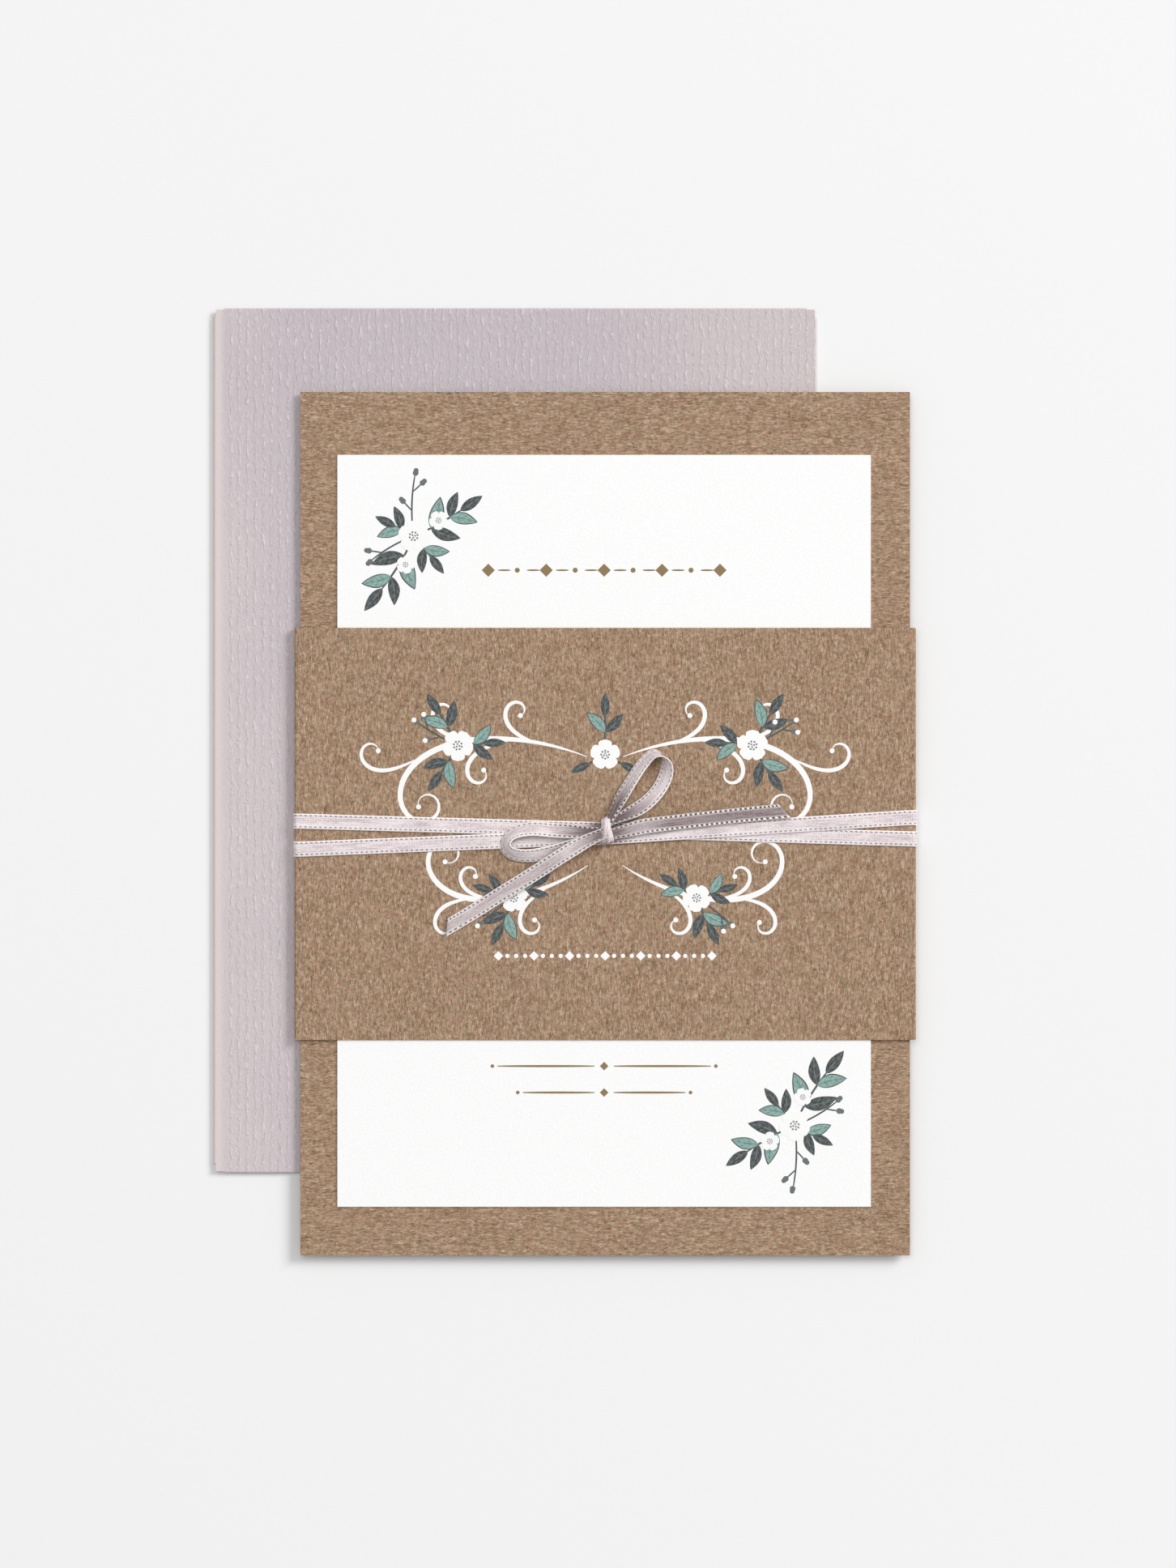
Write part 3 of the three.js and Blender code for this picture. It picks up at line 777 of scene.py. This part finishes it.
def lay_ribbon(middles, leans, slant=0.0, width=lambda part: ribbon_width, cup=plain, crease=plain,
               pinch=plain, dull=plain, beside_knot=0.0, tucked=1.0, sides=10):
    """Sweeps a flat strip through a line of middles, and marks how far along and across it is."""
    global ribbon_spent
    stations = even_stations(middles, leans, stitch_pitch / 2)
    last = len(stations) - 1
    total = stations[-1][2]
    made = bmesh.ops.create_grid(ribbon_bm, x_segments=last, y_segments=sides, size=1)["verts"]
    frames = []
    for k, (middle, lean, run_here) in enumerate(stations):
        ahead = stations[min(k + 1, last)][0] - stations[max(k - 1, 0)][0]
        ahead.normalize()
        across = (lean - ahead * lean.dot(ahead)).normalized()
        frames.append((middle, ahead, across, ahead.cross(across), run_here))
    for vert in made:
        k = round((vert.co.x + 1) / 2 * last)
        v = vert.co.y
        middle, ahead, across, face, run_here = frames[k]
        part = run_here / total
        half = width(part) / 2 + (picot * (-1) ** k if abs(v) > 0.99 else 0)
        shear = slant / 2 * max(0, 1 - (total - run_here) / max(2 * abs(slant), 0.01))
        folds = math.sin(v * crease_waves + part * crease_drift)
        rise = cup(part) * (v * v - 0.5) + crease(part) * folds
        vert[ribbon_along] = ribbon_spent + run_here
        vert[ribbon_across] = v * tucked
        # Strands on the front near the knot are marked for the same painted shade, which fades out
        # away from it.
        away = eased((middle.xy - knot).length, *knot_shade) if middle.z > card_face else 1
        vert[ribbon_pinch_shade] = max(pinch(part), beside_knot * (1 - away))
        vert[ribbon_dull_and_shaded] = dull(part)
        vert.co = middle + across * (v * half) + face * rise + ahead * (v * shear)
    ribbon_spent += total


def turns():
    """Twice round the band: from the knot to the right, round the back, through under the knot,
    round the back again and home to the knot. The front strands lie on each other in layers."""
    middles = []

    def strand(start, end, level, steps):
        for i in range(steps):
            part = i / steps
            x = start[0] + (end[0] - start[0]) * part
            y = start[1] + (end[1] - start[1]) * part
            middles.append(Vector((x, y, level(part))))

    def round_edge(side, y, downwards):
        points = []
        for level, first in ((on_band - turn_radius, 90), (back_level + turn_radius, 0)):
            for i in range(corner_steps + 1):
                angle = math.radians(first - 90 * i / corner_steps)
                x = band_middle.x + side * (turn_reach + turn_radius * math.cos(angle))
                points.append(Vector((x, y, level + turn_radius * math.sin(angle))))
        middles.extend(points if downwards else points[::-1])

    def at_knot(y):
        return knot.x, knot.y + y

    def at_edge(side, y):
        return band_middle.x + side * strand_end, knot.y + y

    upper_right = 2.3
    lower_right = -1.9
    upper_left = 1.6
    lower_left = -3.9
    outer_strand = -1.5
    inner_strand = -0.1
    strand(at_knot(outer_strand), at_edge(1, upper_right),
           lambda part: on_band + layer_step * (2 - eased(part, 0, 0.12)
                                                - eased(part, 0.76, 0.92)), 40)
    round_edge(1, knot.y + upper_right, True)
    strand(at_edge(1, upper_right), at_edge(-1, upper_left), lambda part: back_level, 10)
    round_edge(-1, knot.y + upper_left, False)
    strand(at_edge(-1, upper_left), at_knot(inner_strand), lambda part: on_band, 10)
    strand(at_knot(inner_strand), at_edge(1, lower_right), lambda part: on_band, 10)
    round_edge(1, knot.y + lower_right, True)
    strand(at_edge(1, lower_right), at_edge(-1, lower_left), lambda part: back_level, 10)
    round_edge(-1, knot.y + lower_left, False)
    strand(at_edge(-1, lower_left), at_knot(outer_strand),
           lambda part: on_band + layer_step * (eased(part, 0.5, 0.66) + eased(part, 0.88, 1)), 40)
    middles.append(Vector((knot.x, knot.y + outer_strand, on_band + 2 * layer_step)))
    return middles


turn_line = turns()
lay_ribbon(turn_line, [Vector((0, 1, 0))] * len(turn_line), beside_knot=0.95)


# The bow. Each row is one station: x and y from the knot's middle, the lean in plan of the ribbon's
# width from its low edge to its high edge, and how far the low edge stands over the band.
left_loop = [
    (-0.3, -0.3, 0.1, -0.92, 0.9),
    (-4.5, -0.5, 0.05, -0.95, 0.7),
    (-10, -0.2, 0, -0.95, 0.5),
    (-15, 0.1, 0.12, -0.9, 0.4),
    (-18.6, -0.9, 0.55, -0.55, 0.15),
    (-20, -2.9, 0.75, -0.05, 0.1),
    (-18.6, -4.7, 0.5, 0.6, 0.1),
    (-15, -5.2, 0.05, 0.85, 0.12),
    (-10, -4.3, -0.15, 0.9, 0.3),
    (-5, -2.7, -0.3, 0.88, 0.7),
    (-0.3, -1.1, -0.3, 0.88, 0.9),
]
right_loop = [
    (0.1, 0.9, 0.72, -0.58, 0.9),
    (2.3, 5.2, 0.66, -0.5, 0.5),
    (4.8, 9.4, 0.6, -0.47, 0.2),
    (7.2, 13, 0.55, -0.5, 0.1),
    (9.2, 14.8, 0.35, -0.5, 0.1),
    (11, 14.4, 0.45, -0.4, 0.1),
    (11.9, 12.4, 0.75, -0.3, 0.1),
    (11.4, 9.9, 0.86, -0.35, 0.15),
    (9.8, 7.2, 0.78, -0.52, 0.2),
    (7.2, 4.7, 0.6, -0.74, 0.4),
    (3.6, 2.7, 0.42, -0.86, 0.8),
    (0.3, 1.2, 0.4, -0.86, 1),
]
left_tail = [
    (-0.2, -0.6, 0.5, -0.86, 2),
    (-4.5, -2.6, 0.5, -0.86, 2.2),
    (-9, -5.3, 0.52, -0.85, 2),
    (-14.2, -8.7, 0.54, -0.84, 1.2),
    (-20, -12.3, 0.54, -0.84, 0.5),
    (-26, -16.1, 0.54, -0.84, 0.15),
    (-31.5, -19.4, 0.52, -0.85, 0.1),
]
right_tail = [
    (0.2, -1.1, 0.15, -0.98, 1.2),
    (3.4, -0.4, 0.18, -0.98, 1),
    (7.5, 0.6, 0.15, -0.98, 0.9),
    (13, 1.3, 0.1, -0.99, 0.75),
    (20, 2.1, 0.1, -0.99, 0.6),
    (28, 2.95, 0.1, -0.99, 0.55),
    (35.1, 3.6, 0.1, -0.99, 0.5),
]


def bow_line(stations, steps=160):
    middles = []
    leans = []
    for x, y, lean_x, lean_y, low in stations:
        rise = math.sqrt(max(0, 1 - lean_x ** 2 - lean_y ** 2))
        middles.append(Vector((knot.x + x, knot.y + y, on_band + low + rise * ribbon_width / 2)))
        leans.append(Vector((lean_x, lean_y, rise)))
    parts = [i / steps for i in range(steps + 1)]
    return ([curve_point(middles, part) for part in parts],
            [curve_point(leans, part).normalized() for part in parts])


def gathered(part):
    """A loop's width: drawn in where it enters the knot, full elsewhere."""
    return ribbon_width * (0.55 + 0.45 * eased(min(part, 1 - part), 0.02, 0.18))


tail_slant = 2.3
# The loops are painted in shade towards the knot, where they are pinched.
for loop in (left_loop, right_loop):
    lay_ribbon(
        *bow_line(loop), width=gathered,
        cup=lambda part: 0.4 * (1 - eased(min(part, 1 - part), 0, 0.2)),
        crease=lambda part: 0.18 * (1 - eased(min(part, 1 - part), 0.02, 0.2)),
        pinch=lambda part: 1 - eased(min(part, 1 - part), 0.04, 0.34),
        dull=lambda part: 0.5 * (1 - eased(min(part, 1 - part), 0.04, 0.32)))
# The tails are painted in shade towards the knot, and the right tail all along, as it lies turned
# from the light.
for tail, dull_and_shade_level in ((left_tail, 0.42), (right_tail, 1.0)):
    lay_ribbon(
        *bow_line(tail), slant=tail_slant,
        width=lambda part: ribbon_width * (0.75 + 0.25 * eased(part, 0.02, 0.2)),
        cup=lambda part: 0.3 * (1 - eased(part, 0, 0.3)),
        crease=lambda part: 0.12 * (1 - eased(part, 0.02, 0.2)),
        pinch=lambda part: 0.9 * (1 - eased(part, 0.02, 0.24)),
        dull=lambda part: dull_and_shade_level * (0.4 + 0.6 * eased(part, 0.1, 0.4)))

# The knot is the ribbon's last turn, drawn tight over the strands. Its edges are tucked under, and
# it spreads a little where it runs out below.
knot_half_length = 2.4
knot_half_height = 1.12
knot_top_width = 1.7
knot_foot_width = 2.7
knot_roundness = 0.8
knot_sway = -0.3
knot_middle = Vector((knot.x, knot.y - 0.2, on_band + knot_half_height - 0.02))
knot_steps = 48
knot_line = []
for i in range(knot_steps + 1):
    angle = math.radians(-90 + 360 * i / knot_steps)
    round_y = math.copysign(abs(math.cos(angle)) ** knot_roundness, math.cos(angle))
    sway = knot_sway * round_y * max(math.sin(angle), 0)
    reach = Vector((sway, round_y * knot_half_length, math.sin(angle) * knot_half_height))
    knot_line.append(knot_middle + reach)
lay_ribbon(
    knot_line, [Vector((1, 0.1, 0))] * len(knot_line), tucked=0.6, sides=14,
    width=lambda part: knot_top_width + (knot_foot_width - knot_top_width) * eased(part, 0.4, 0.72),
    cup=lambda part: -0.35, crease=lambda part: 0.07 + 0.09 * eased(part, 0.45, 0.7),
    pinch=lambda part: 0.1)
ribbon = make_piece("ribbon_bow", ribbon_bm, satin, "band")
ribbon_body = ribbon.modifiers.new("weave thickness", "SOLIDIFY")
ribbon_body.thickness = ribbon_thickness * MM
ribbon_body.offset = 0
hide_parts("satin_ribbon")

# A rounded core fills the knot. It is a grid closed into a ball, pole to pole, so that its faces
# come in the same order on every run.
# The core is painted in full shade, as the inside of the knot.
core_reach = (knot_top_width * 0.46, knot_half_length * 0.93, knot_half_height * 0.9)
core_bm = bmesh.new()
core_pinch_shade = core_bm.verts.layers.float.new("pinch")
bmesh.ops.create_grid(core_bm, x_segments=24, y_segments=12, size=1)
for vert in core_bm.verts:
    east, north = math.pi * vert.co.x, math.pi / 2 * vert.co.y
    out = math.cos(north)
    vert.co = (out * math.cos(east), out * math.sin(east), math.sin(north))
    vert[core_pinch_shade] = 1
bmesh.ops.remove_doubles(core_bm, verts=core_bm.verts, dist=weld_reach)
bmesh.ops.scale(core_bm, vec=core_reach, verts=core_bm.verts)
bmesh.ops.translate(core_bm, vec=knot_middle, verts=core_bm.verts)
make_piece("knot_core", core_bm, satin, "band")
